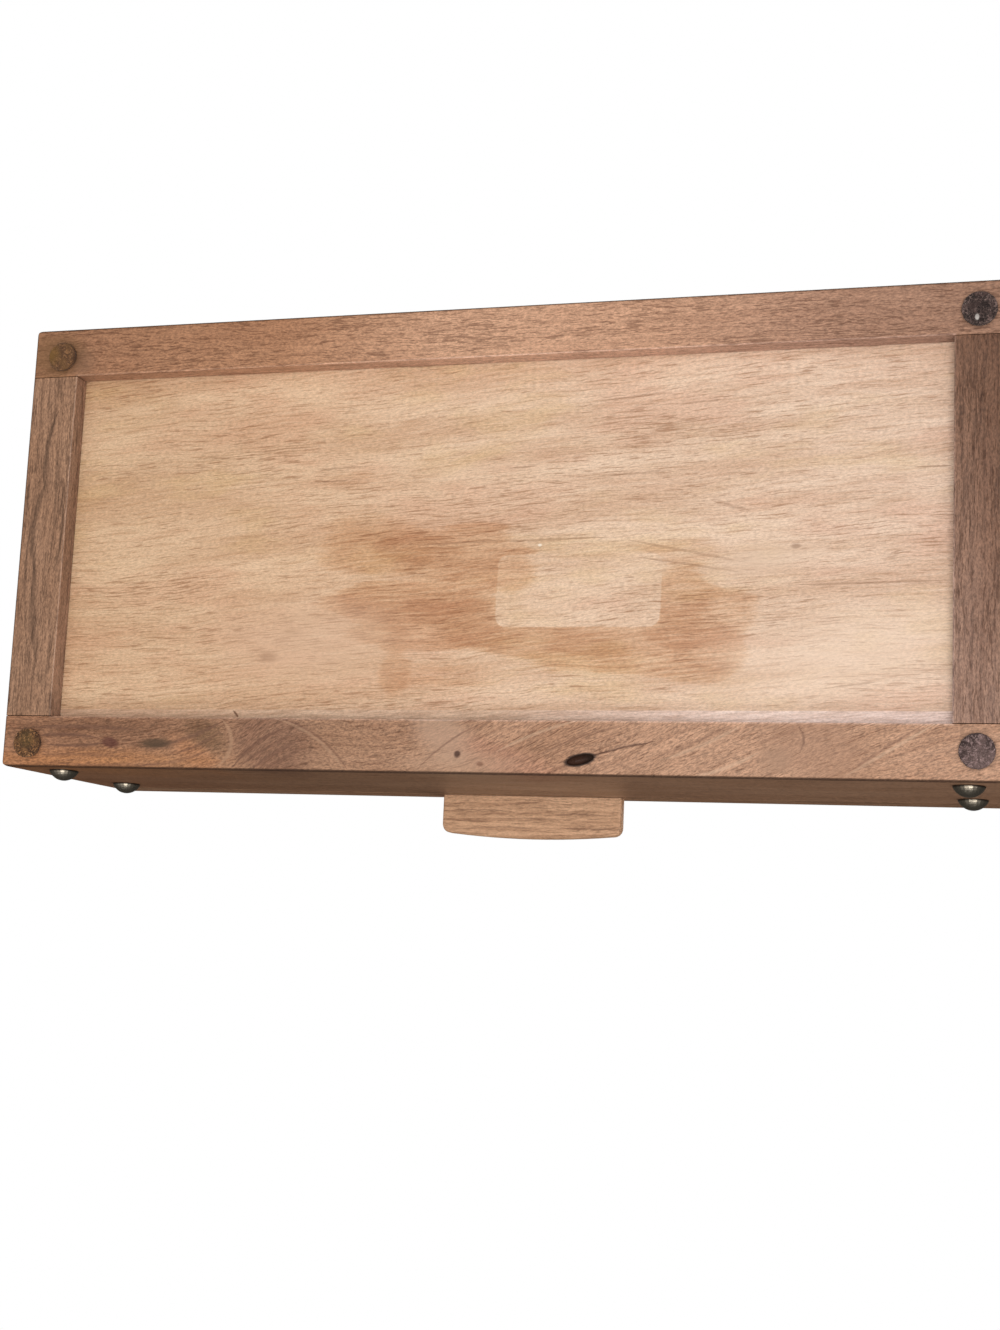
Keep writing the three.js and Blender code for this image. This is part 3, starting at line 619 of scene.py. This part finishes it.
panelLook = {
    "cream": paint(234, 204, 176), "tan": paint(216, 180, 150), "pink": paint(222, 180, 152),
    "yellow": paint(222, 190, 146), "streak": paint(188, 148, 116), "deep": paint(160, 114, 82),
    "stain": (0.86, 0.72, 0.58, 1.0), "rust": (0.74, 0.57, 0.45, 1.0), "strip": paint(230, 203, 186),
    "stripDark": paint(197, 167, 149), "rough": 0.62, "specular": 0.3, "bump": 0.45, "bumpDepth": 0.0002,
    "streakDark": 0.65, "glint": 0.6, "poreDark": 0.62, "stripAmount": 0.85, "slope": -0.07, "sway": 7.0,
    "marginSlope": 0.0042, "marginEdge": (-56.15, -55.75), "marginTop": (11.0, 12.5),
    "blockAt": (-35.0, -13.0, 10), "blockHalf": (25.8, 9.2, 0), "blockRound": (3.9, 4.9),
    "tintsAndShade": [(-165, 1.0, 1.03, 1.12), (-40, 0.99, 0.99, 1.01), (70, 0.95, 0.9, 0.83),
              (165, 0.89, 0.83, 0.73)],
    "stripTintsAndShade": [(-145, 1.24, 1.34, 1.52), (-97, 1.37, 1.5, 1.68), (-50, 1.08, 1.09, 1.12),
                   (-3, 0.97, 0.92, 0.82), (55, 1.04, 1.0, 0.89), (104, 0.93, 0.83, 0.7)],
    # centre, reach, softness and strength of each part of the stain
    "stains": [
        ((43, 11), (22, 7), 0.7, 0.4), ((38, 1), (28, 8), 0.5, 0.5), ((10, 2), (27, 7), 0.5, 0.65),
        ((19, -9), (20, 5), 0.5, 0.2), ((-12, -5), (9, 6), 0.5, 0.7), ((2, -7), (14, 5), 0.5, 0.5),
        ((28, -16), (33, 7), 0.4, 0.75), ((45, -17), (9, 5.5), 0.5, 0.5), ((14, -19), (20, 4), 0.5, 0.5),
        ((4, -24), (12, 7), 0.4, 0.5), ((20, -28), (30, 6.5), 0.4, 0.7), ((-20, -31), (28, 5.5), 0.4, 0.65),
        ((-52, -31), (26, 5.5), 0.4, 0.6), ((-36, -38), (18, 4), 0.5, 0.5), ((-72, -16), (12, 11), 0.4, 0.5),
        ((-68, -25), (10, 7), 0.4, 0.6), ((-86, -22), (14, 10), 0.4, 0.5), ((-82, -35), (13, 9), 0.4, 0.7),
        ((-77, -42), (12, 5), 0.6, 0.45), ((-57, -38.5), (16, 5), 0.5, 0.5), ((32, -41), (5, 16), 0.7, 0.42),
        ((11, -43), (30, 5), 0.6, 0.36), ((2, 10.5), (12, 1.8), 0.5, 0.5), ((-97, 16), (19, 9), 0.9, 0.2),
        ((-116, 10), (18, 10), 0.9, 0.1), ((-75, 0), (14, 6), 0.6, 0.35), ((52, 29), (13, 5), 0.6, 0.3),
    ],
    "cornerStains": [((-10.5, -6.5), (9.5, 7), 0.7, 0.62), ((-52, 1), (14, 4), 0.6, 0.25)],
    # long dark pores, the small marks and the paler places
    "marks": [
        *(line(sheetFace, points, width, (142, 102, 76), amount, ragged=0.7)
          for *points, width, amount in [
            ((64.6, 28.9), (52.8, 29.3), 0.5, 0.55), ((64.9, 33.5), (47.2, 34.5), 0.45, 0.45),
            ((24.3, 4.3), (-8.0, 5.6), 0.5, 0.4), ((-6, 5.0), (-44.2, 6.0), 0.5, 0.45),
            ((-8.3, 32.1), (-17.6, 32.6), 0.45, 0.5), ((-40.7, 55.8), (-64.1, 58.1), 0.5, 0.45),
            ((-68.6, 53.6), (-86.3, 54.7), 0.5, 0.4), ((-41.6, 28.2), (-66.8, 29.6), 0.5, 0.4),
            ((-57, -1.5), (-93, -7.3), 0.6, 0.4), ((-53.3, 4.7), (-93.9, -3.8), 0.7, 0.35),
            ((-110.2, -12.1), (-163.4, -11.0), 0.55, 0.45), ((-124.3, -47.3), (-138.5, -45.5), 0.6, 0.6),
            ((-150.9, 28.2), (-163.1, 28.5), 0.5, 0.6), ((-82, 18.2), (-95, 14.5), 0.9, 0.35),
        ]),
        spot((81, -36.6, 10), (3.2, 1.8, 4), (154, 108, 76), 0.75, soft=0.7, ragged=0.9),
        spot((72, -27.5, 10), (3.6, 1.5, 4), (174, 132, 98), 0.6, soft=0.7, ragged=0.9),
        spot((-111.3, 1.5, 10), (1.8, 0.8, 4), (132, 92, 70), 0.75, soft=0.5, ragged=0.5),
        spot((-20.6, 3.5, 10), (0.7, 0.5, 3), (250, 240, 224), 0.7, soft=0.4, ragged=0.3),
        spot((-100, -3, 10), (16, 5, 9), (224, 196, 172), 0.5, turn=12),
        spot((64, -31, 10), (30, 14, 9), (222, 188, 160), 0.5, soft=0.9),
        spot((-130, -37, 10), (36, 14, 9), (238, 212, 190), 0.45, turn=8, soft=0.9),
        line(sheetFace, ((93.4, -56.8), (91.2, -59.1)), 0.6, (110, 72, 50), 0.85, ragged=0.5, dent=0.8),
    ],
}


def soakUp(tree, place, stains):
    total = None
    for centre, reach, soft, amount in stains:
        mask = useGroup(tree, markSpot, Place=place, Centre=(*centre, 10), Reach=(*reach, 3.5), Soft=soft,
                        Ragged=0.5, Grain=0.45)["Mask"]
        mask = times(tree, mask, amount)
        total = mask if total is None else plus(tree, total, mask)
    return total


def blondPanel(look):
    material, tree, shader, place = newMaterial("blondPly")
    side = split(tree, place)
    grain = useGroup(tree, veneerGrain, Place=place, Slope=look["slope"], Sway=look["sway"])
    fibre = grain["Fibre"]
    colour = blend(tree, ease(tree, grain["Band"], 0.35, 0.65), look["cream"], look["tan"])
    colour = blend(tree, ease(tree, grain["Hue"], 0.5, 0.68, 0.0, 0.6), colour, look["pink"])
    colour = blend(tree, ease(tree, grain["Hue"], 0.5, 0.32, 0.0, 0.5), colour, look["yellow"])
    colour = layer(tree, colour, ease(tree, fibre, 0.48, 0.7), look["streakDark"], look["streak"])
    colour = layer(tree, colour, ease(tree, fibre, 0.48, 0.3), look["glint"], look["cream"])
    tone = grey(tree, ease(tree, grain["Fine"], 0.3, 0.7, 0.79, 1.17))
    colour = tinted(tree, colour, tone)
    colour = layer(tree, colour, grain["Pore"], look["poreDark"], look["deep"])
    # tone that changes along the sheet: partly its own colour, partly painted shade across the box
    colour = tinted(tree, colour, tintAlong(tree, side[0], look["tintsAndShade"]))
    height = minus(tree, times(tree, fibre, 0.5), times(tree, grain["Pore"], 0.8))

    # a rounded block of the sheet that the stain leaves clear
    block = vec(tree, "ABSOLUTE", vec(tree, "SUBTRACT", place, look["blockAt"]))
    past = split(tree, vec(tree, "SUBTRACT", block, look["blockHalf"]))
    outX, outY = calc(tree, "MAXIMUM", past[0], 0.0), calc(tree, "MAXIMUM", past[1], 0.0)
    beyond = calc(tree, "SQRT", plus(tree, times(tree, outX, outX), times(tree, outY, outY)))
    ragged = times(tree, noise(tree, place, (0.35, 0.35, 0.35), 3.0, 0.6), 0.9)
    clear = ease(tree, plus(tree, beyond, ragged), *look["blockRound"])

    field = times(tree, soakUp(tree, place, look["stains"]), clear)
    field = plus(tree, field, soakUp(tree, place, look["cornerStains"]))
    patchy = noise(tree, place, (0.03, 0.2, 0.15), 5.0, 0.7)
    field = plus(tree, field, wobble(tree, patchy, 0.55))
    soak = times(tree, ease(tree, field, 0.18, 0.5), ease(tree, field, 0.2, 1.3, 0.65, 1.0))
    soak = times(tree, soak, ease(tree, fibre, 0.3, 0.65, 0.8, 1.12))
    tint = blend(tree, ease(tree, soak, 0.55, 1.05), look["stain"], look["rust"])
    colour = blend(tree, soak, colour, tinted(tree, colour, tint))

    # a band along the front board, laid over the stain in colours of its own and set a little lower; its tone
    # along it is partly painted shade
    front = plus(tree, side[1], times(tree, side[0], look["marginSlope"]))
    margin = times(tree, ease(tree, front, *look["marginEdge"], 1.0, 0.0),
                   ease(tree, side[2], *look["marginTop"], 1.0, 0.0))
    lined = blend(tree, ease(tree, fibre, 0.36, 0.66), look["strip"], look["stripDark"])
    lined = tinted(tree, tinted(tree, lined, tone), tintAlong(tree, side[0], look["stripTintsAndShade"]))
    colour = layer(tree, colour, margin, look["stripAmount"], lined)
    height = minus(tree, height, times(tree, margin, 0.5))

    colour, height = stainMarks(tree, place, colour, height, look["marks"])
    rough = ease(tree, soak, 0.0, 1.0, look["rough"] + 0.06, look["rough"] - 0.1)
    surface(tree, shader, look, colour, rough, height)
    dress(nodes["bottom_panel"], material)


blondPanel(panelLook)
print("bottom panel finished")


def feltMaterial(name, look):
    material, tree, shader, place = newMaterial(name)
    felt = useGroup(tree, mattedFelt, Place=place, Size=look["size"])
    colour = blend(tree, ease(tree, felt["Fibre"], 0.5, 0.7), look["deep"], look["fibre"])
    colour = layer(tree, colour, ease(tree, felt["Clump"], 0.5, 0.62), 0.55, look["clump"])
    colour = layer(tree, colour, felt["Lint"], look["lintAmount"], look["lint"])
    colour, height = stainMarks(tree, place, colour, felt["Fibre"], look["marks"])
    feed(tree, shader, {"Sheen Weight": look["sheen"], "Sheen Roughness": look["sheenRough"]})
    surface(tree, shader, look, colour, ease(tree, felt["Clump"], 0.3, 0.7, 0.85, 1.0), height)
    return material


feltBase = {"specular": 0.1, "sheen": 0.12, "sheenRough": 0.6, "bump": 0.9, "bumpDepth": 0.0003}
charcoalLook = {
    **feltBase, "size": 0.6, "deep": paint(58, 45, 43), "fibre": paint(181, 153, 150),
    "clump": paint(116, 94, 91), "lint": paint(190, 176, 168), "lintAmount": 0.45,
    "marks": [spot((-173.5, -72, 0), (5, 4, 3), (140, 116, 112), 0.3, ragged=0.9)],
}
sootyLook = {
    **feltBase, "size": 0.55, "deep": paint(44, 35, 33), "fibre": paint(154, 128, 121),
    "clump": paint(92, 71, 67), "lint": paint(176, 162, 154), "lintAmount": 0.5,
    "marks": [spot((-171.4, 76.8, 0), (0.7, 1.1, 2), (222, 214, 208), 0.95, soft=0.3, ragged=0.4),
              spot((-172, 79.5, 0), (4.6, 3.6, 3), (34, 26, 25), 0.5, soft=0.5, ragged=0.9)],
}
oliveLook = {
    **feltBase, "size": 0.5, "deep": paint(67, 44, 30), "fibre": paint(194, 139, 91),
    "clump": paint(118, 84, 52), "lint": paint(184, 156, 120), "lintAmount": 0.4,
    "marks": [spot((172, -69.5, 0), (2.6, 3.0, 3), (104, 84, 48), 0.4, ragged=0.9)],
}
wornLook = {
    **feltBase, "size": 0.5, "deep": paint(90, 62, 42), "fibre": paint(164, 119, 80),
    "clump": paint(118, 85, 52), "lint": paint(180, 144, 112), "lintAmount": 0.4,
    "marks": [spot((175.2, 80, 0), (3.4, 4.0, 3), (132, 98, 44), 0.4, ragged=0.9)],
}

padLook = {
    "sides": 48, "rings": 5, "faceShare": 0.985, "rimBevel": 0.0005, "lump": 0.00018, "lumpSize": 0.0011,
    "hairs": 110, "hairLength": 0.0011, "hairWidth": 0.00005, "hairBend": 0.00012,
}


def setMode(mode):
    bpy.ops.object.mode_set(mode=mode)


def selectOnly(*pieces):
    bpy.ops.object.select_all(action="DESELECT")
    for piece in pieces:
        piece.select_set(True)


# a pressed disc: ringed faces, a rounded rim and a lumpy surface that stays within the pad's own height
def pressedDisc(node, low, high, radius, wear):
    selectOnly()
    bpy.ops.mesh.primitive_cylinder_add(vertices=padLook["sides"], radius=radius * padLook["faceShare"],
                                        depth=high.z - low.z, location=(low + high) / 2, end_fill_type="NGON")
    pad = bpy.context.object
    pad.name = "felt_" + node
    bpy.ops.object.transform_apply(location=True, rotation=True, scale=True)
    setMode("EDIT")
    for ends in (1, -1):
        bpy.ops.mesh.select_all(action="DESELECT")
        bpy.ops.mesh.select_mode(type="FACE")
        setMode("OBJECT")
        for face in pad.data.polygons:
            face.select = face.normal.z * ends > 0.9
        setMode("EDIT")
        bpy.ops.mesh.inset(thickness=radius * 0.08)
        for ring in range(padLook["rings"]):
            bpy.ops.mesh.inset(thickness=radius * 0.16)
    setMode("OBJECT")
    bevel = pad.modifiers.new("rim", "BEVEL")
    bevel.width, bevel.segments = padLook["rimBevel"], 3
    bevel.limit_method, bevel.angle_limit = "ANGLE", math.radians(40)
    bpy.ops.object.modifier_apply(modifier="rim")
    texture = bpy.data.textures.new(node + "_lumps", "CLOUDS")
    texture.noise_scale, texture.noise_depth = padLook["lumpSize"], 3
    lumps = pad.modifiers.new("lumps", "DISPLACE")
    lumps.texture, lumps.texture_coords = texture, "LOCAL"
    lumps.strength, lumps.mid_level = padLook["lump"] * wear, 0.75
    bpy.ops.object.modifier_apply(modifier="lumps")
    for vertex in pad.data.vertices:  # the pressed face stays on the surface that the box stands on
        vertex.co.z = min(max(vertex.co.z, low.z), high.z + 0.0002)
    bpy.ops.object.shade_smooth_by_angle(angle=math.radians(50))
    return pad


def bentHair():
    selectOnly()
    width, length = padLook["hairWidth"], padLook["hairLength"]
    bpy.ops.mesh.primitive_cone_add(vertices=3, radius1=width, radius2=width * 0.4, depth=length,
                                    location=(0, 0, 0))
    hair = bpy.context.object
    setMode("EDIT")
    bpy.ops.mesh.select_all(action="SELECT")
    bpy.ops.mesh.subdivide(number_cuts=1)
    setMode("OBJECT")
    for vertex in hair.data.vertices:
        vertex.co.x += padLook["hairBend"] * (1 - (2 * vertex.co.z / length) ** 2)
    return hair


def feltPad(node, material, wear, share, seed):
    low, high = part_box(node)
    centre, radius = (low + high) / 2, (high.x - low.x) / 2 * share
    pad = pressedDisc(node, low, high, radius, wear)
    dress(pad, material)

    # loose fibres round the rim and on the face
    hair = bentHair()
    flat = Euler((math.pi / 2, 0, 0)).to_matrix()
    chance = random.Random(seed)
    hairs = []
    for count in range(padLook["hairs"]):
        copy = bpy.data.objects.new(f"hair_{count}", hair.data.copy())
        bpy.context.collection.objects.link(copy)
        angle = chance.uniform(0, 2 * math.pi)
        onRim = count % 3 < 2
        reach = radius * (padLook["faceShare"] if onRim else math.sqrt(chance.random()) * 0.92)
        up = chance.uniform(low.z + 0.0003, high.z - 0.0004) if onRim else low.z + 0.00016
        root = Vector((centre.x + reach * math.cos(angle), centre.y + reach * math.sin(angle), up))
        if onRim:
            lean = Euler((chance.uniform(-0.6, 0.6), math.pi / 2 + chance.uniform(-0.5, 0.2), 0)).to_matrix()
            lean = Matrix.Rotation(angle + chance.uniform(-1.0, 1.0), 3, "Z") @ lean
        else:
            lean = Matrix.Rotation(chance.uniform(0, 2 * math.pi), 3, "Z") @ flat
        size = Matrix.Scale(chance.uniform(0.6, 1.1), 4)
        copy.data.transform(Matrix.Translation(root) @ lean.to_4x4() @ size)
        for vertex in copy.data.vertices:
            vertex.co.z = min(max(vertex.co.z, low.z), high.z - 0.0001)
        dress(copy, material)
        hairs.append(copy)
    bpy.data.objects.remove(hair)
    selectOnly(*hairs, pad)
    bpy.context.view_layer.objects.active = pad
    bpy.ops.object.join()
    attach(pad, "box_body")
    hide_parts(node)


feltPad("pad_front_left", feltMaterial("charcoalFelt", charcoalLook), 1.0, 1.0, 11)
feltPad("pad_back_left", feltMaterial("sootyFelt", sootyLook), 1.3, 1.0, 23)
feltPad("pad_front_right", feltMaterial("oliveFelt", oliveLook), 1.6, 0.92, 37)
feltPad("pad_back_right", feltMaterial("wornFelt", wornLook), 2.6, 0.95, 41)
print("felt pads finished")


def metal(name, look):
    look = {"specular": 0.5, "bump": 0.35, "bumpDepth": 0.00012, **look}
    material, tree, shader, place = newMaterial(name)
    age = useGroup(tree, oldMetal, Place=place, Amount=look["tarnish"])
    colour = blend(tree, ease(tree, age["Scratch"], 0.3, 0.7), look["base"], look["bright"])
    colour = layer(tree, colour, age["Tarnish"], look["tarnishDark"], look["dark"])
    colour = layer(tree, colour, age["Pit"], look["pitDark"], look["dark"])
    if "dirtAndShadeFrom" in look:  # dirt and painted shade where the dome meets the wood
        depth = plus(tree, split(tree, place)[1], wobble(tree, age["Scratch"], 0.8))
        dirtAndShade = ease(tree, depth, look["dirtAndShadeFrom"], look["dirtAndShadeFrom"] + 0.9)
        colour = layer(tree, colour, dirtAndShade, 0.85, look["dark"])
    shader.inputs["Metallic"].default_value = 1.0
    rough = ease(tree, age["Scratch"], 0.3, 0.7, look["rough"] - 0.06, look["rough"] + 0.08)
    rough = plus(tree, rough, times(tree, age["Tarnish"], 0.22))
    height = minus(tree, times(tree, age["Scratch"], 0.2), times(tree, age["Pit"], 0.6))
    surface(tree, shader, look, colour, rough, height)
    return material


tackMetal = metal("antiqueNickel", {
    "base": paint(212, 196, 172), "bright": paint(240, 230, 212), "dark": paint(66, 50, 39),
    "tarnish": 0.5, "tarnishDark": 0.6, "pitDark": 0.5, "rough": 0.32, "dirtAndShadeFrom": -80.4,
})
hingeBrass = metal("hingeBrass", {
    "base": paint(152, 120, 72), "bright": paint(182, 150, 98), "dark": paint(82, 60, 37),
    "tarnish": 0.55, "tarnishDark": 0.6, "pitDark": 0.4, "rough": 0.4,
})
screwBrass = metal("screwBrass", {
    "base": paint(146, 112, 66), "bright": paint(190, 156, 104), "dark": paint(66, 48, 30),
    "tarnish": 0.55, "tarnishDark": 0.65, "pitDark": 0.3, "rough": 0.3,
})
pinMetal = metal("hingePin", {
    "base": paint(176, 152, 104), "bright": paint(206, 186, 142), "dark": paint(88, 70, 46),
    "tarnish": 0.4, "tarnishDark": 0.4, "pitDark": 0.2, "rough": 0.25,
})
for name, piece in nodes.items():
    if name.startswith("tack"):
        dress(piece, tackMetal)
    elif "screw" in name:
        dress(piece, screwBrass)
    elif name.endswith("pin"):
        dress(piece, pinMetal)
    elif "leaf" in name:
        dress(piece, hingeBrass)
print("metal pieces finished")


# the floor shows from above only: the photograph looks up at the box from below it
floorLook = {
    "size": 16.0, "tone": (0.86, 0.855, 0.845, 1.0), "rough": 0.75, "selfLit": 0.45, "glow": 0.86,
    # where the painted shadow round the box's foot lies, how far it reaches and how dark it goes
    "contactShadow": ((frameCentre.x, frameCentre.y, 0), (frameHalf.x, frameHalf.y, 1000)),
    "contactShadowReach": 16, "contactShadowTone": 0.12,
}


def layFloor(look):
    selectOnly()
    bpy.ops.mesh.primitive_plane_add(size=look["size"], location=(0, 0, -0.0001))
    floor = bpy.context.object
    floor.name = "studio_floor"
    material, tree, shader, place = newMaterial("studioFloor")
    mottle = noise(tree, place, (0.004, 0.004, 0.004), 3.0, 0.5)
    flat = grey(tree, ease(tree, mottle, 0.3, 0.7, 0.985, 1.0))
    # painted shadow: the floor is darkened in colour under the box and close round its foot
    centre, half = look["contactShadow"]
    past = vec(tree, "SUBTRACT", vec(tree, "ABSOLUTE", vec(tree, "SUBTRACT", place, centre)), half)
    away = vec(tree, "LENGTH", vec(tree, "MAXIMUM", past, (0, 0, 0)))
    shade = ease(tree, away, -4, look["contactShadowReach"], look["contactShadowTone"], 1.0)
    tone = tinted(tree, look["tone"], tinted(tree, flat, grey(tree, shade)))
    feed(tree, shader, {"Base Color": tone, "Roughness": look["rough"], "Specular IOR Level": 0.2})
    # part of its light is its own, so that the lamps below it count for less
    even = put(tree, "ShaderNodeEmission", tone, look["glow"])
    lit = put(tree, "ShaderNodeMixShader", look["selfLit"], shader.outputs[0], even.outputs[0])
    clearer = put(tree, "ShaderNodeBsdfTransparent")
    behind = put(tree, "ShaderNodeNewGeometry").outputs["Backfacing"]
    mix = put(tree, "ShaderNodeMixShader", behind, lit.outputs[0], clearer.outputs[0])
    output = next(node for node in tree.nodes if node.type == "OUTPUT_MATERIAL")
    wire(tree, mix.outputs[0], output.inputs[0])
    dress(floor, material)
    floor.visible_shadow = floor.visible_diffuse = floor.visible_glossy = floor.visible_transmission = False


layFloor(floorLook)

skyLook = {"below": 1.0, "falloff": 2.0, "above": 0.05, "mirrored": 0.6, "backdrop": 1.0}


# light from below, a white backdrop and reflections of a dimmer room
def lightWorld(look):
    world = bpy.data.worlds.new("softRoom")
    bpy.context.scene.world = world
    world.use_nodes = True
    tree = world.node_tree
    tree.nodes.clear()
    height = split(tree, put(tree, "ShaderNodeTexCoord").outputs["Generated"])[2]
    down = calc(tree, "MAXIMUM", times(tree, height, -1.0), 0.0)
    down = times(tree, calc(tree, "POWER", down, look["falloff"]), look["below"])
    path = put(tree, "ShaderNodeLightPath").outputs
    dim = minus(tree, 1.0, times(tree, path["Is Glossy Ray"], 1.0 - look["mirrored"]))
    power = times(tree, plus(tree, down, look["above"]), dim)
    glow = put(tree, "ShaderNodeBackground", (1.0, 0.985, 0.965, 1.0), power)
    backdrop = put(tree, "ShaderNodeBackground", (1.0, 1.0, 1.0, 1.0), look["backdrop"])
    mix = put(tree, "ShaderNodeMixShader", path["Is Camera Ray"], glow.outputs[0], backdrop.outputs[0])
    put(tree, "ShaderNodeOutputWorld", mix.outputs[0])


lightWorld(skyLook)

lamps = [
    {"name": "backSun", "kind": "SUN", "at": (-0.5, 1.0, 1.5), "spread": 50, "power": 2.0},
    {"name": "frontSun", "kind": "SUN", "at": (-0.9, -1.1, 1.3), "spread": 40, "power": 1.6, "glossy": False},
    {"name": "underSoft", "kind": "AREA", "at": (-0.26, -0.2, -0.95), "size": 0.5, "power": 4.2},
    {"name": "lowFront", "kind": "AREA", "at": (-0.2, -1.15, -1.0), "size": 0.7, "power": 3.5},
]
for lamp in lamps:
    light = bpy.data.lights.new(lamp["name"], lamp["kind"])
    light.energy = lamp["power"]
    light.color = (1.0, 0.98, 0.95)
    if lamp["kind"] == "SUN":
        light.angle = math.radians(lamp["spread"])
    else:
        light.shape, light.size = "DISK", lamp["size"]
    holder = bpy.data.objects.new(lamp["name"], light)
    bpy.context.collection.objects.link(holder)
    holder.location = lamp["at"]
    holder.visible_glossy = lamp.get("glossy", True)
    aim = Vector((0, 0, 0.05)) - Vector(lamp["at"])
    holder.rotation_euler = aim.to_track_quat("-Z", "Y").to_euler()

cameraLook = {
    "at": (-0.18661, -0.13956, -0.61479), "lens": 50.216,
    "axes": ((-0.962301, 0.000099, -0.271988), (0.043, 0.987479, -0.151778),
             (0.268568, -0.157751, -0.950256)),
}
camera = bpy.data.objects.new("photoCamera", bpy.data.cameras.new("photoCamera"))
bpy.context.collection.objects.link(camera)
camera.data.lens = cameraLook["lens"]
camera.data.clip_start = 0.01
camera.matrix_world = Matrix.Translation(cameraLook["at"]) @ Matrix(cameraLook["axes"]).to_4x4()
bpy.context.scene.camera = camera
bpy.context.scene.view_settings.view_transform = "Standard"
print("studio and camera set")
